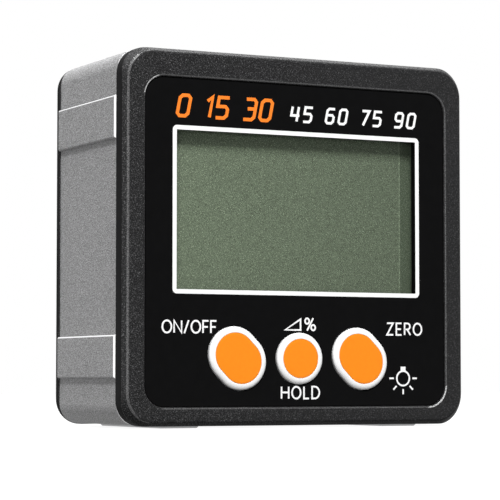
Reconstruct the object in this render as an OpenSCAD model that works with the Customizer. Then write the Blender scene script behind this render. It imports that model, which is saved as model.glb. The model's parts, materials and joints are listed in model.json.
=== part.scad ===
// Digital angle gauge: a square instrument with a ribbed aluminium frame between
// a moulded front bezel and a moulded back cover. Millimetres, +Z up, the display
// faces -Y, the base rails stand on Z = 0.
// Inside the modules y runs from the bezel's front face to the back, and x and z
// are measured from the middle of the case. place() moves that to the part's frame.

/* [Case] */
// Width of the bezel and of the back cover
case_w = 56.6; // [56:0.2:70]
// Height of the bezel and of the back cover
case_h = 54.4; // [54:0.2:70]
// Corner radius of the bezel's side wall and of the back cover
case_r = 3.8; // [3.4:0.1:6]

/* [Frame] */
// Length of the extruded frame, front to back
frame_depth = 21.6; // [21:0.1:30]
// Wall of the frame
frame_wall = 2; // [1.7:0.1:2.2]
// Outer corner radius of the frame
frame_r = 3; // [2.6:0.1:5]
// Inner corner radius of the frame
inner_r = 2.2; // [1.8:0.1:4]
// How far the frame's flats lie inside the bezel's outline
frame_inset = 0.15; // [0.05:0.05:0.25]
// Height of the rails above the frame's flats
rail_h = 0.45; // [0.3:0.05:1.2]
// Width of a rail
rail_w = 6.2; // [4:0.1:8]
// Distance from the side of the case to the near edge of a rail
rail_edge = 6.9; // [5.5:0.05:9]
// Bevel along a rail's edges and ends
rail_bevel = 0.2; // [0.05:0.05:0.25]

/* [Bezel] */
// Depth of the bezel's side wall
bezel_t = 2.9; // [2.6:0.1:4]
// Width of the bevel round the bezel's front, seen from the front
bezel_bevel_w = 0.6; // [0.2:0.05:1]
// Depth of that bevel, seen from the side
bezel_bevel_d = 0.8; // [0.3:0.05:1.5]
// Corner radius of the bezel's front face inside the bevel
bezel_front_r = 4; // [3:0.1:6]
// Thickness of the web behind the panel
web_t = 1.2; // [1.1:0.05:1.5]
// How far the locating lips reach into the frame
lip_depth = 3; // [1.5:0.1:4]
// Thickness of the locating lips
lip_t = 1.2; // [0.8:0.1:1.4]
// Room between a lip and the frame
lip_gap = 0.15; // [0.05:0.05:0.25]

/* [Panel] */
// Width of the bezel's border beside the panel
bezel_side = 3.35; // [2.8:0.05:4.5]
// Width of the bezel's border above the panel
bezel_top = 4.15; // [2.8:0.05:5]
// Width of the bezel's border below the panel
bezel_bottom = 2.75; // [2.2:0.05:3.5]
// Corner radius of the panel's recess
panel_r = 3; // [2:0.1:5]
// Thickness of the panel
panel_t = 0.6; // [0.4:0.05:0.8]
// How deep the panel lies under the bezel's front face
panel_recess = 0.3; // [0.1:0.05:0.4]
// Room round the panel in its recess
panel_gap = 0.1; // [0.05:0.05:0.2]
// Bevel round the mouth of the recess
recess_bevel = 0.2; // [0.05:0.05:0.3]

/* [Display] */
// Width of the panel's border beside the window
window_side = 4.9; // [4.4:0.1:9]
// Distance from the top of the case to the window
window_top = 11.7; // [11:0.1:16]
// Thickness of the clear pane
pane_t = 0.7; // [0.4:0.05:0.8]
// How far the pane reaches past the opening on each side
pane_margin = 1.6; // [1:0.1:2]
// Room round the pane in its pocket
pane_gap = 0.1; // [0.05:0.05:0.2]
// How far the sight opening in the web clears the opening in the panel
sight_margin = 0.4; // [0.1:0.1:0.6]
// Thickness of the polarising film
film_t = 0.2; // [0.1:0.05:0.4]
// How far the film reaches past the window at the left
film_left = 1.35; // [0.2:0.05:2]
// Strip at the right of the window that the film leaves bare
film_short = 1.65; // [0:0.05:2]
// How far the film reaches past the window at its top and bottom
film_margin = 0.5; // [0.2:0.1:0.8]
// How far the glass reaches past the window on each side
glass_side = 2.35; // [2.1:0.05:3]
// How far the glass reaches past the window at the top
glass_over = 1.8; // [1:0.1:2.5]
// Thickness of one glass sheet
glass_t = 1.1; // [0.7:0.1:1.3]
// Height of the contact ledge, where only the front sheet runs on
ledge_h = 3; // [2.6:0.1:3.4]
// Room round the glass inside its pocket
glass_gap = 0.15; // [0.1:0.05:0.3]
// Wall of the glass pocket
pocket_wall = 1; // [0.6:0.1:1.2]
// Thickness of the light guide
guide_t = 3; // [2.6:0.1:4]
// Thickness of the rubber contact strip
strip_t = 2; // [1.2:0.1:2.2]
// Distance from the end of the glass to the end of the rubber strip
strip_end = 2.3; // [0.5:0.1:6]

/* [Keys] */
// Distance from the bottom of the case to the row of keys
key_edge = 9.8; // [9.3:0.1:11]
// Room between the flanges of neighbouring keys
key_space = 0.57; // [0.2:0.01:2]
// Room between the keys' flanges and the pocket of the display glass
key_room = 0.8; // [0.2:0.1:3]
// Radius of the round middle key
round_key_r = 3.8; // [3:0.05:3.9]
// End radius of the slanted outer keys
long_key_r = 4.1; // [3.5:0.05:4.2]
// Half the distance between the ends' centres on an outer key
long_key_half = 0.75; // [0.4:0.05:0.9]
// Slant of the outer keys
key_slant = 45; // [30:1:60]
// Height of a key above the panel
key_height = 0.5; // [0.45:0.05:0.9]
// Width of the white bevelled rim
key_bevel = 0.8; // [0.5:0.05:1.2]
// White left round the orange insert at the top of the bevel
key_rim = 0.1; // [0.05:0.05:0.3]
// Depth of the orange insert
insert_t = 0.6; // [0.4:0.05:0.9]
// Joint line round the insert
insert_gap = 0.02; // [0.01:0.01:0.05]
// Room round a key in its hole
key_gap = 0.15; // [0.1:0.05:0.25]
// Width of the flange that keeps a key in
key_flange_w = 0.6; // [0.4:0.05:0.65]
// Thickness of that flange
key_flange_t = 0.6; // [0.4:0.05:0.8]
// Height of the boss between the flange and the plunger
key_boss_h = 0.6; // [0.3:0.05:1]
// Travel of a key
key_travel = 0.3; // [0.2:0.05:0.4]

/* [Board] */
// Thickness of the circuit board
board_t = 1.2; // [0.8:0.1:1.6]
// Room between the board and the inside of the frame
board_gap = 0.9; // [0.4:0.1:1.5]
// Side of a push switch
switch_w = 6; // [4.5:0.1:6.2]
// How far a plunger stands out of its switch
plunger_out = 0.7; // [0.6:0.05:1]
// Radius of a switch's plunger
plunger_r = 1.7; // [1.2:0.05:1.8]
// Room round a plunger in its switch
plunger_gap = 0.06; // [0.03:0.01:0.1]
// How deep a plunger sits in its switch
plunger_seat = 0.6; // [0.4:0.05:0.8]
// Radius of the bosses under the board
board_boss_r = 2; // [1.7:0.1:2.1]

/* [Battery bay] */
// Room between the end walls of the bay and the inside of the frame
bay_side = 0.55; // [0.1:0.05:3]
// Diameter of a cell
cell_d = 10.5; // [9.5:0.1:10.5]
// Room between a cell and the bay
cell_gap = 0.25; // [0.1:0.05:0.3]
// Thickness of the contact plates
contact_t = 0.4; // [0.2:0.05:0.5]
// Height of the dimple on a positive contact
dimple_h = 0.3; // [0.2:0.05:0.5]
// Length of a compressed contact spring
spring_len = 3.6; // [3:0.1:3.7]
// Diameter of the spring wire
spring_wire = 0.6; // [0.4:0.05:0.7]
// Wall of the bay
bay_wall = 1; // [0.7:0.05:1.1]
// Thickness of the battery door
door_t = 1.6; // [1.2:0.1:1.7]
// Width of the ledge under the door's edge
door_ledge = 1.2; // [0.8:0.1:1.4]
// Room round the door
door_gap = 0.2; // [0.1:0.05:0.3]

/* [Back cover] */
// Thickness of the back plate
back_t = 2.2; // [2:0.1:3]
// Bevel round the back plate's outer edge
back_bevel = 1.1; // [0.5:0.1:1.3]

/* [Fasteners] */
// Distance of the case screws from the sides of the case
screw_edge = 6.7; // [6.4:0.1:7]
// Radius of the bosses for the case screws
case_boss_r = 2.6; // [2.2:0.1:2.7]
// Shank radius of a case screw
case_screw_r = 1.15; // [0.9:0.05:1.3]
// Head radius of a case screw
case_head_r = 2; // [1.8:0.05:2.2]
// Head height of a case screw
case_head_t = 1.2; // [0.8:0.1:1.3]
// Length of a case screw under its head
case_screw_len = 12; // [8:0.5:16]
// Shank radius of a board screw
board_screw_r = 0.8; // [0.6:0.05:1]
// Head radius of a board screw
board_head_r = 1.6; // [1.3:0.05:1.8]
// Head height of a board screw
board_head_t = 1.1; // [0.7:0.1:1.3]
// Length of a board screw under its head
board_screw_len = 5; // [4:0.5:5.5]
// Room round a screw's shank
screw_gap = 0.05; // [0.02:0.01:0.1]
// Room round a screw's head
head_gap = 0.2; // [0.1:0.05:0.4]

/* [Base magnets] */
// Width of a bar magnet
magnet_w = 12; // [6:0.5:16]
// Length of a bar magnet, front to back
magnet_len = 10; // [6:0.5:11]
// Thickness of a bar magnet
magnet_t = 3; // [2:0.1:4]
// Depth of the groove that holds it
groove_depth = 1; // [0.4:0.1:1.2]
// Room on each side of a magnet in its groove
magnet_gap = 0.1; // [0.05:0.05:0.3]
// Distance from the middle of the base to the middle of a magnet
magnet_x = 9; // [8.5:0.5:11]

/* [Hidden] */
$fn = 64;
cut = 1;

// Frame outline and rails
frame_w = case_w - 2 * frame_inset;
frame_h = case_h - 2 * frame_inset;
inner_w = frame_w - 2 * frame_wall;
inner_h = frame_h - 2 * frame_wall;
rail_x = case_w / 2 - rail_edge - rail_w / 2;
rail_z = case_h / 2 - rail_edge - rail_w / 2;
overall_h = frame_h + 2 * rail_h;

// Spread of the bezel's bevel if it ran on to the bezel's rear edge
bevel_spread = bezel_bevel_w / bezel_bevel_d * (bezel_t - bezel_bevel_d);

// Panel in its recess
panel_w = case_w - 2 * (bezel_side + panel_gap);
panel_h = case_h - bezel_top - bezel_bottom - 2 * panel_gap;
panel_z = (bezel_bottom - bezel_top) / 2;

// Front stack, each level measured from the bezel's front face
frame_y0 = bezel_t;
frame_y1 = bezel_t + frame_depth;
panel_y1 = panel_recess + panel_t;
web_y1 = panel_y1 + web_t;
pane_y1 = panel_y1 + pane_t;
film_y1 = web_y1 + film_t;
sheet_y1 = film_y1 + glass_t;
glass_y1 = sheet_y1 + glass_t;
board_y0 = glass_y1 + guide_t;
board_y1 = board_y0 + board_t;

// Locating lips on the bezel and on the back cover
lip_w = inner_w - 2 * lip_gap;
lip_h = inner_h - 2 * lip_gap;
lip_r = inner_r - lip_gap;
hollow_w = lip_w - 2 * lip_t;
hollow_h = lip_h - 2 * lip_t;
hollow_r = lip_r - lip_t;

// Row of keys
key_z = key_edge - case_h / 2;
key_reach_x = long_key_half * cos(key_slant) + long_key_r + key_flange_w;
key_reach_z = long_key_half * sin(key_slant) + long_key_r + key_flange_w;
key_pitch = round_key_r + key_flange_w + key_space + key_reach_x;

// Display between the keys and the top of the case: the glass has a ledge below the window
ledge_cover = 0.3;
glass_bottom = key_z + key_reach_z + key_room + pocket_wall + glass_gap;
window_bottom = glass_bottom + ledge_h - ledge_cover;
window_w = panel_w - 2 * window_side;
window_h = case_h / 2 - window_top - window_bottom;
window_z = window_bottom + window_h / 2;
glass_w = window_w + 2 * glass_side;
glass_h = window_bottom + window_h + glass_over - glass_bottom;
glass_z = glass_bottom + glass_h / 2;
rear_sheet_h = glass_h - ledge_h;
rear_sheet_z = glass_bottom + ledge_h + rear_sheet_h / 2;
film_w = window_w + film_left - film_short;
film_h = window_h + 2 * film_margin;
film_x = -(film_left + film_short) / 2;
guide_w = window_w + 2 * sight_margin;
guide_h = window_h + sight_margin;
guide_z = window_z + sight_margin / 2;
strip_w = glass_w - 2 * strip_end;
strip_z = glass_bottom + ledge_h / 2 - ledge_cover;

// Backlight lamps on the board above the light guide, between the upper bosses
upper_boss_x = 13;
led_size = [3.2, 1.6, 1.2];
led_boss_gap = 0.4;
led_x = upper_boss_x - board_boss_r - led_boss_gap - led_size[0] / 2;
led_gap = 0.1;

// Depth of the keys and switches
key_proud = key_height - panel_recess;
key_flange_y1 = web_y1 + key_flange_t;
key_spread = key_bevel / key_height * (key_flange_y1 - panel_recess);
plunger_y0 = key_flange_y1 + key_boss_h;
switch_y0 = plunger_y0 + plunger_out;
key_boss_trim = 0.1;
key_boss_r = plunger_r - key_boss_trim;

// Board and what is on it
board_w = inner_w - 2 * board_gap;
board_h = inner_h - 2 * board_gap;
board_notch = 0.4;
boss_room = 0.4;
boss_side = 1.57;
lower_boss_x = key_pitch + key_reach_x + boss_side + board_boss_r;
pocket_top = glass_bottom + glass_h + glass_gap + pocket_wall;
pocket_bottom = glass_bottom - glass_gap - pocket_wall;
board_bosses = [
    for (s = [-1, 1]) each [
        [s * upper_boss_x, pocket_top + boss_room + board_boss_r],
        [s * lower_boss_x, pocket_bottom - boss_room - board_boss_r]
    ]
];
controller_size = [7, 1.2, 7];
controller_at = [-7, 3];
sensor_size = [3, 0.9, 3];
sensor_at = [4, 6];
crystal_r = 1;
crystal_len = 6;
crystal_at = [5, -2];
crystal_gap = 0.05;
pin_mark_r = 0.4;
pin_mark_depth = 0.1;

// Battery bay, set from the back of the case
case_depth = frame_y1 + back_t;
back_y0 = frame_y1;
door_y0 = case_depth - door_t;
cell_r = cell_d / 2;
bay_r = cell_r + cell_gap;
cell_pitch = 2 * bay_r;
door_cell_gap = 0.3;
cell_y = door_y0 - door_cell_gap - cell_r;
bay_len = inner_w - 2 * (bay_side + bay_wall);
cell_len = bay_len - spring_len - 2 * contact_t - dimple_h;
bay_h = 2 * cell_pitch;
ridge_cut = 0.48 * cell_r;
nub_r = 1.9;
nub_len = 0.8;
cell_edge = 0.5;
bead_depth = 0.25;
bead_at = 3;
contact_w = 1.36 * cell_r;
contact_h = 1.6 * cell_r;
contact_drop = 0.68 * cell_r;
tab_w = 2.4;
tab_gap = 0.2;
spring_base_r = 0.62 * cell_r;
spring_tip_r = 0.44 * cell_r;
spring_turns = 3.5;
spring_flat = 0.14;
spring_seat = 0.02;
wire_sides = 8;
wire_rings = 72;

// Battery door
door_w = bay_len + 2 * door_ledge;
door_h = bay_h + 2 * door_ledge;
door_r = 1.5;
skirt_t = 1;
skirt_h = 1.6;
skirt_end = 4;
notch_r = 5;
notch_depth = 1;

// Case screws
screw_x = case_w / 2 - screw_edge;
screw_z = case_h / 2 - screw_edge;
head_sink = 0.2;
head_y = case_depth - head_sink - case_head_t;
post_h = 2;
post_y0 = back_y0 - post_h;
screw_spots = [for (sx = [-1, 1]) for (sz = [-1, 1]) [sx * screw_x, sz * screw_z]];
cross_w = 0.5;
cross_depth = 0.7;
cross_rim = 0.6;

// Base magnets
magnet_room = 1;
magnet_y0 = board_y1 + magnet_room;

// Colours
aluminium = [0.62, 0.62, 0.62];
black_plastic = [0.13, 0.13, 0.13];
gloss_black = [0.05, 0.05, 0.05];
key_white = [0.95, 0.95, 0.95];
key_orange = [0.99, 0.58, 0.14];
display_green = [0.41, 0.46, 0.39];
board_green = [0.06, 0.3, 0.16];
steel = [0.72, 0.73, 0.74];
rubber_grey = [0.3, 0.3, 0.32];

// Moves a shape from case measures to the part's frame
module place() {
    translate([0, (key_proud - case_depth) / 2, overall_h / 2]) children();
}

// Round post along y
module post(at, r, y0, y1) {
    translate([at[0], y0, at[1]]) rotate([-90, 0, 0]) cylinder(h = y1 - y0, r = r);
}

// Box centred on x and z, from y0 to y1
module plate(w, h, y0, y1) {
    translate([-w / 2, y0, -h / 2]) cube([w, y1 - y0, h]);
}

// Block with rounded corners: w by h at y1, larger by grow on every side at y0
module rounded_block(w, h, r, y0, y1, grow = 0) {
    for (sx = [-1, 1]) for (sz = [-1, 1])
        translate([sx * (w / 2 - r), y0, sz * (h / 2 - r)])
            rotate([-90, 0, 0]) cylinder(h = y1 - y0, r1 = r + grow, r2 = r);
    linear_extrude(h - 2 * r, center = true) trapezoid(w, y0, y1, grow);
    rotate([0, -90, 0]) linear_extrude(w - 2 * r, center = true) trapezoid(h, y0, y1, grow);
}

module trapezoid(w, y0, y1, grow) {
    polygon([[-w / 2 - grow, y0], [w / 2 + grow, y0], [w / 2, y1], [-w / 2, y1]]);
}

// Block with two round ends at the key's slant: radius r at y1, larger by grow at y0
module key_block(r, half, y0, y1, grow = 0) {
    rotate([0, key_slant, 0]) {
        for (s = half > 0 ? [-1, 1] : [0])
            translate([s * half, y0, 0]) rotate([-90, 0, 0]) cylinder(h = y1 - y0, r1 = r + grow, r2 = r);
        if (half > 0)
            rotate([0, -90, 0]) linear_extrude(2 * half, center = true) trapezoid(2 * r, y0, y1, grow);
    }
}

module at_key(column) {
    translate([column * key_pitch, 0, key_z]) children();
}

// One rail on the side that faces up, with bevelled edges and ends
module rail(offset, reach) {
    translate([offset, 0, reach]) intersection() {
        translate([0, frame_y1, 0]) rotate([90, 0, 0]) linear_extrude(frame_depth)
            polygon([
                [-rail_w / 2, -frame_wall / 2], [rail_w / 2, -frame_wall / 2], [rail_w / 2, rail_h - rail_bevel],
                [rail_w / 2 - rail_bevel, rail_h], [rail_bevel - rail_w / 2, rail_h], [-rail_w / 2, rail_h - rail_bevel]
            ]);
        rotate([90, 0, 90]) linear_extrude(rail_w + cut, center = true)
            polygon([
                [frame_y0, -frame_wall], [frame_y1, -frame_wall], [frame_y1, rail_h - rail_bevel],
                [frame_y1 - rail_bevel, rail_h], [frame_y0 + rail_bevel, rail_h], [frame_y0, rail_h - rail_bevel]
            ]);
    }
}

module frame() {
    color(aluminium) place() difference() {
        union() {
            rounded_block(frame_w, frame_h, frame_r, frame_y0, frame_y1);
            for (s = [-1, 1]) {
                for (turn = [0, 180]) rotate([0, turn, 0]) rail(s * rail_x, frame_h / 2);
                for (turn = [90, 270]) rotate([0, turn, 0]) rail(s * rail_z, frame_w / 2);
            }
        }
        rounded_block(inner_w, inner_h, inner_r, frame_y0 - cut, frame_y1 + cut);
        for (s = [-1, 1])
            translate([s * magnet_x - magnet_w / 2 - magnet_gap, frame_y0 - cut, -inner_h / 2 - groove_depth])
                cube([magnet_w + 2 * magnet_gap, frame_depth + 2 * cut, groove_depth + cut]);
    }
}

module front_bezel() {
    color(black_plastic) place() difference() {
        union() {
            bezel_shell();
            glass_pocket();
            for (spot = board_bosses) post(spot, board_boss_r, web_y1 - cut / 2, board_y0);
            for (spot = screw_spots) post(spot, case_boss_r, web_y1 - cut / 2, post_y0);
        }
        translate([0, 0, panel_z]) {
            rounded_block(panel_w + 2 * panel_gap, panel_h + 2 * panel_gap, panel_r, -cut, panel_y1);
            rounded_block(panel_w + 2 * panel_gap, panel_h + 2 * panel_gap, panel_r,
                -recess_bevel, recess_bevel, 2 * recess_bevel);
        }
        translate([0, 0, window_z]) {
            plate(window_w + 2 * pane_margin + 2 * pane_gap, window_h + 2 * pane_margin + 2 * pane_gap,
                panel_y1 - cut, pane_y1);
            plate(window_w + 2 * sight_margin, window_h + 2 * sight_margin, panel_y1, web_y1 + cut / 2);
        }
        for (k = [-1, 1]) at_key(k) key_block(long_key_r + key_gap, long_key_half, 0, web_y1 + cut / 2);
        at_key(0) key_block(round_key_r + key_gap, 0, 0, web_y1 + cut / 2);
        for (spot = board_bosses)
            post(spot, board_screw_r + screw_gap, board_y1 - board_screw_len - cut / 2, board_y0 + cut);
        for (spot = screw_spots)
            post(spot, case_screw_r + screw_gap, head_y - case_screw_len - cut, post_y0 + cut);
    }
}

// Front wall with its bevel, web and locating lip
module bezel_shell() {
    difference() {
        union() {
            intersection() {
                rounded_block(case_w, case_h, case_r, 0, bezel_t);
                rounded_block(case_w + 2 * bevel_spread, case_h + 2 * bevel_spread,
                    bezel_front_r + bezel_bevel_w + bevel_spread, 0, bezel_t, -bezel_bevel_w - bevel_spread);
            }
            rounded_block(lip_w, lip_h, lip_r, web_y1, bezel_t + lip_depth);
        }
        rounded_block(hollow_w, hollow_h, hollow_r, web_y1, bezel_t + lip_depth + cut);
    }
}

// Wall on the back of the web that holds the display glass
module glass_pocket() {
    room_w = glass_w + 2 * glass_gap;
    room_h = glass_h + 2 * glass_gap;
    translate([0, 0, glass_z]) difference() {
        plate(room_w + 2 * pocket_wall, room_h + 2 * pocket_wall, web_y1 - cut / 2, glass_y1);
        plate(room_w, room_h, web_y1 - cut, glass_y1 + cut);
    }
}

module front_panel() {
    color(gloss_black) place() difference() {
        translate([0, 0, panel_z]) rounded_block(panel_w, panel_h, panel_r - panel_gap, panel_recess, panel_y1);
        translate([0, 0, window_z]) plate(window_w, window_h, 0, panel_y1 + cut);
        for (k = [-1, 1]) at_key(k) key_block(long_key_r + key_gap, long_key_half, 0, panel_y1 + cut);
        at_key(0) key_block(round_key_r + key_gap, 0, 0, panel_y1 + cut);
    }
}

module display_window() {
    color([0.9, 0.95, 0.95, 0.3]) place() translate([0, 0, window_z])
        plate(window_w + 2 * pane_margin, window_h + 2 * pane_margin, panel_y1, pane_y1);
}

module lcd_polariser() {
    color(display_green) place() translate([film_x, 0, window_z]) plate(film_w, film_h, web_y1, film_y1);
}

module lcd_glass() {
    color([0.5, 0.56, 0.48]) place() {
        translate([0, 0, glass_z]) plate(glass_w, glass_h, film_y1, sheet_y1);
        translate([0, 0, rear_sheet_z]) plate(glass_w, rear_sheet_h, sheet_y1, glass_y1);
    }
}

module light_guide() {
    color([0.92, 0.94, 0.9]) place() translate([0, 0, guide_z]) plate(guide_w, guide_h, glass_y1, board_y0);
}

module backlight_leds() {
    color([0.95, 0.93, 0.75]) place() for (s = [-1, 1])
        translate([s * led_x, 0, guide_z + guide_h / 2 + led_gap + led_size[2] / 2])
            plate(led_size[0], led_size[2], board_y0 - led_size[1], board_y0);
}

module contact_strip() {
    color(rubber_grey) place() translate([0, 0, strip_z]) plate(strip_w, strip_t, sheet_y1, board_y0);
}

module circuit_board() {
    color(board_green) place() difference() {
        plate(board_w, board_h, board_y0, board_y1);
        for (spot = screw_spots) post(spot, case_boss_r + board_notch, board_y0 - cut, board_y1 + cut);
        for (spot = screw_spots)
            translate([sign(spot[0]) * board_w / 2, 0, sign(spot[1]) * board_h / 2])
                plate(board_w - 2 * screw_x, board_h - 2 * screw_z, board_y0 - cut, board_y1 + cut);
        for (spot = board_bosses) post(spot, board_screw_r + screw_gap, board_y0 - cut, board_y1 + cut);
    }
}

// Flat chip on the back of the board with a mark at its first pin
module chip(size, at) {
    difference() {
        translate([at[0], 0, at[1]]) plate(size[0], size[2], board_y1, board_y1 + size[1]);
        post([at[0] - size[0] / 2 + 2 * pin_mark_r, at[1] + size[2] / 2 - 2 * pin_mark_r], pin_mark_r,
            board_y1 + size[1] - pin_mark_depth, board_y1 + size[1] + cut);
    }
}

module controller_chip() {
    color([0.1, 0.1, 0.1]) place() chip(controller_size, controller_at);
}

module tilt_sensor() {
    color([0.15, 0.15, 0.15]) place() chip(sensor_size, sensor_at);
}

module timing_crystal() {
    color(steel) place() translate([crystal_at[0], board_y1 + crystal_r + crystal_gap, crystal_at[1]])
        rotate([0, 90, 0]) cylinder(h = crystal_len, r = crystal_r, center = true);
}

// Square push switch with a blind hole for its plunger
module push_switch(column) {
    color([0.2, 0.2, 0.2]) place() at_key(column) difference() {
        plate(switch_w, switch_w, switch_y0, board_y0);
        post([0, 0], plunger_r + plunger_gap, switch_y0 - cut, switch_y0 + plunger_seat + 2 * key_travel);
    }
}

module power_switch() { push_switch(-1); }
module hold_switch() { push_switch(0); }
module zero_switch() { push_switch(1); }

// Plunger between a key's boss and its switch
module plunger(column) {
    color([0.35, 0.33, 0.3]) place() at_key(column) post([0, 0], plunger_r, plunger_y0, switch_y0 + plunger_seat);
}

module power_plunger() { plunger(-1); }
module hold_plunger() { plunger(0); }
module zero_plunger() { plunger(1); }

// White key: bevelled rim, pocket for the insert, flange behind the web and a boss
module key(column, r, half) {
    color(key_white) place() at_key(column) difference() {
        union() {
            intersection() {
                key_block(r, half, -key_proud, key_flange_y1);
                key_block(r + key_spread, half, -key_proud, key_flange_y1, -key_bevel - key_spread);
            }
            key_block(r + key_flange_w, half, web_y1, key_flange_y1);
            post([0, 0], key_boss_r, key_flange_y1 - cut / 2, plunger_y0);
        }
        key_block(r - key_bevel - key_rim, half, -key_proud - cut, insert_t - key_proud);
    }
}

module power_key() { key(-1, long_key_r, long_key_half); }
module hold_key() { key(0, round_key_r, 0); }
module zero_key() { key(1, long_key_r, long_key_half); }

// Orange second shot that fills a key's pocket
module key_insert(column, r, half) {
    color(key_orange) place() at_key(column)
        key_block(r - key_bevel - key_rim - insert_gap, half, -key_proud, insert_t - key_proud);
}

module power_key_insert() { key_insert(-1, long_key_r, long_key_half); }
module hold_key_insert() { key_insert(0, round_key_r, 0); }
module zero_key_insert() { key_insert(1, long_key_r, long_key_half); }

// Pan-head screw with a cross recess, head towards the back
module screw(at, r, len, head_r, head_t, y) {
    difference() {
        union() {
            post(at, r, y - len, y + head_t / 2);
            post(at, head_r, y, y + head_t);
        }
        for (turn = [0, 90]) translate([at[0], 0, at[1]]) rotate([0, turn, 0])
            plate(2 * (head_r - cross_rim), cross_w, y + head_t - cross_depth, y + head_t + cut);
    }
}

module board_screws() {
    color(steel) place() for (spot = board_bosses)
        screw(spot, board_screw_r, board_screw_len, board_head_r, board_head_t, board_y1);
}

module case_screws() {
    color(steel) place() for (spot = screw_spots)
        screw(spot, case_screw_r, case_screw_len, case_head_r, case_head_t, head_y);
}

// Two round-bottomed troughs side by side, open to the back at y1
module bay(len, r, y1) {
    for (s = [-1, 1]) translate([0, cell_y, s * cell_pitch / 2])
        rotate([0, 90, 0]) cylinder(h = len, r = r, center = true);
    plate(len, cell_pitch + 2 * r, cell_y, y1);
}

module back_cover() {
    color(black_plastic) place() difference() {
        union() {
            intersection() {
                rounded_block(case_w, case_h, case_r, back_y0, case_depth);
                rounded_block(case_w - 2 * back_bevel, case_h - 2 * back_bevel, case_r - back_bevel,
                    back_y0, case_depth, back_t);
            }
            difference() {
                rounded_block(lip_w, lip_h, lip_r, back_y0 - lip_depth, back_y0 + cut / 2);
                rounded_block(hollow_w, hollow_h, hollow_r, back_y0 - lip_depth - cut, back_y0 + cut);
            }
            bay(bay_len + 2 * bay_wall, bay_r + bay_wall, back_y0 + cut / 2);
            for (spot = screw_spots) post(spot, case_boss_r, post_y0, back_y0 + cut / 2);
        }
        bay(bay_len, bay_r, case_depth + cut);
        plate(bay_len, cell_pitch, cell_y - ridge_cut, cell_y + cut);
        rounded_block(door_w, door_h, door_r, door_y0, case_depth + cut);
        post([0, -door_h / 2], notch_r, case_depth - notch_depth, case_depth + cut);
        for (spot = screw_spots) {
            post(spot, case_screw_r + screw_gap, post_y0 - cut, case_depth);
            post(spot, case_head_r + head_gap, head_y, case_depth + cut);
        }
        for (s = [-1, 1])
            translate([-bay_len / 2 - tab_gap, cell_y - bay_r - bay_wall - cut, s * cell_pitch / 2 - tab_w / 2 - tab_gap])
                cube([contact_t + 2 * tab_gap, bay_r + bay_wall + cut - contact_drop, tab_w + 2 * tab_gap]);
    }
}

module battery_door() {
    color(black_plastic) place() {
        rounded_block(door_w - 2 * door_gap, door_h - 2 * door_gap, door_r - door_gap, door_y0, case_depth);
        for (s = [-1, 1]) translate([0, 0, s * (bay_h / 2 - door_gap - skirt_t / 2)])
            plate(bay_len - 2 * skirt_end, skirt_t, door_y0 - skirt_h, door_y0 + cut / 2);
    }
}

// Cell lying along x with its nub at the right, turned round for the other trough
module cell(turn) {
    rotate([0, turn, 0]) translate([contact_t + spring_len - bay_len / 2, cell_y, cell_pitch / 2])
        rotate([0, 90, 0]) rotate_extrude()
            polygon([
                [0, 0], [cell_r - cell_edge, 0], [cell_r, cell_edge],
                [cell_r, cell_len - nub_len - bead_at], [cell_r - bead_depth, cell_len - nub_len - bead_at + bead_depth],
                [cell_r, cell_len - nub_len - bead_at + 2 * bead_depth],
                [cell_r, cell_len - nub_len - cell_edge], [cell_r - cell_edge, cell_len - nub_len],
                [nub_r, cell_len - nub_len], [nub_r, cell_len], [0, cell_len]
            ]);
}

module upper_cell() { color([0.25, 0.35, 0.45]) place() cell(0); }
module lower_cell() { color([0.25, 0.35, 0.45]) place() cell(180); }

// Contact plate flat on the bay's end wall, at the height of one trough
module contact_plate(side, s) {
    x0 = side > 0 ? bay_len / 2 - contact_t : -bay_len / 2;
    translate([x0, cell_y - contact_drop, s * cell_pitch / 2 - contact_w / 2])
        cube([contact_t, contact_h, contact_w]);
}

// Low dome that meets the cell's nub
module dimple(side, s) {
    dome_r = (nub_r * nub_r + dimple_h * dimple_h) / (2 * dimple_h);
    face = side * (bay_len / 2 - contact_t);
    translate([face, cell_y, s * cell_pitch / 2]) rotate([0, -90 * side, 0]) intersection() {
        translate([0, 0, dimple_h - dome_r]) sphere(r = dome_r);
        translate([0, 0, -contact_t / 2]) cylinder(h = contact_t / 2 + dimple_h, r = nub_r);
    }
}

// Tab from a contact plate through the bay's floor to the board
module contact_tab(s) {
    translate([-bay_len / 2, board_y1, s * cell_pitch / 2 - tab_w / 2])
        cube([contact_t, cell_y - contact_drop - board_y1 + contact_t, tab_w]);
}

module positive_contact() {
    color(steel) place() {
        contact_plate(-1, -1);
        dimple(-1, -1);
        contact_tab(-1);
    }
}

module negative_contact() {
    color(steel) place() {
        contact_plate(-1, 1);
        contact_tab(1);
    }
}

module bridge_contact() {
    color(steel) place() {
        contact_plate(1, -1);
        contact_plate(1, 1);
        translate([bay_len / 2 - contact_t, cell_y - contact_drop / 2, -cell_pitch / 2])
            cube([contact_t, contact_drop, cell_pitch]);
        dimple(1, 1);
    }
}

// Conical wire spring along +x from a contact plate: wound flat at both ends
function spring_rise(t) = min(max((t - spring_flat) / (1 - 2 * spring_flat), 0), 1);

function wire_point(t, b) =
    let (
        turn = 360 * spring_turns * t,
        wire_r = spring_wire / 2,
        reach = spring_base_r + (spring_tip_r - spring_base_r) * t + wire_r * cos(b),
        span = spring_len - spring_wire - 2 * spring_seat
    )
    [spring_seat + wire_r + span * spring_rise(t) + wire_r * sin(b), reach * cos(turn), reach * sin(turn)];

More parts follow.
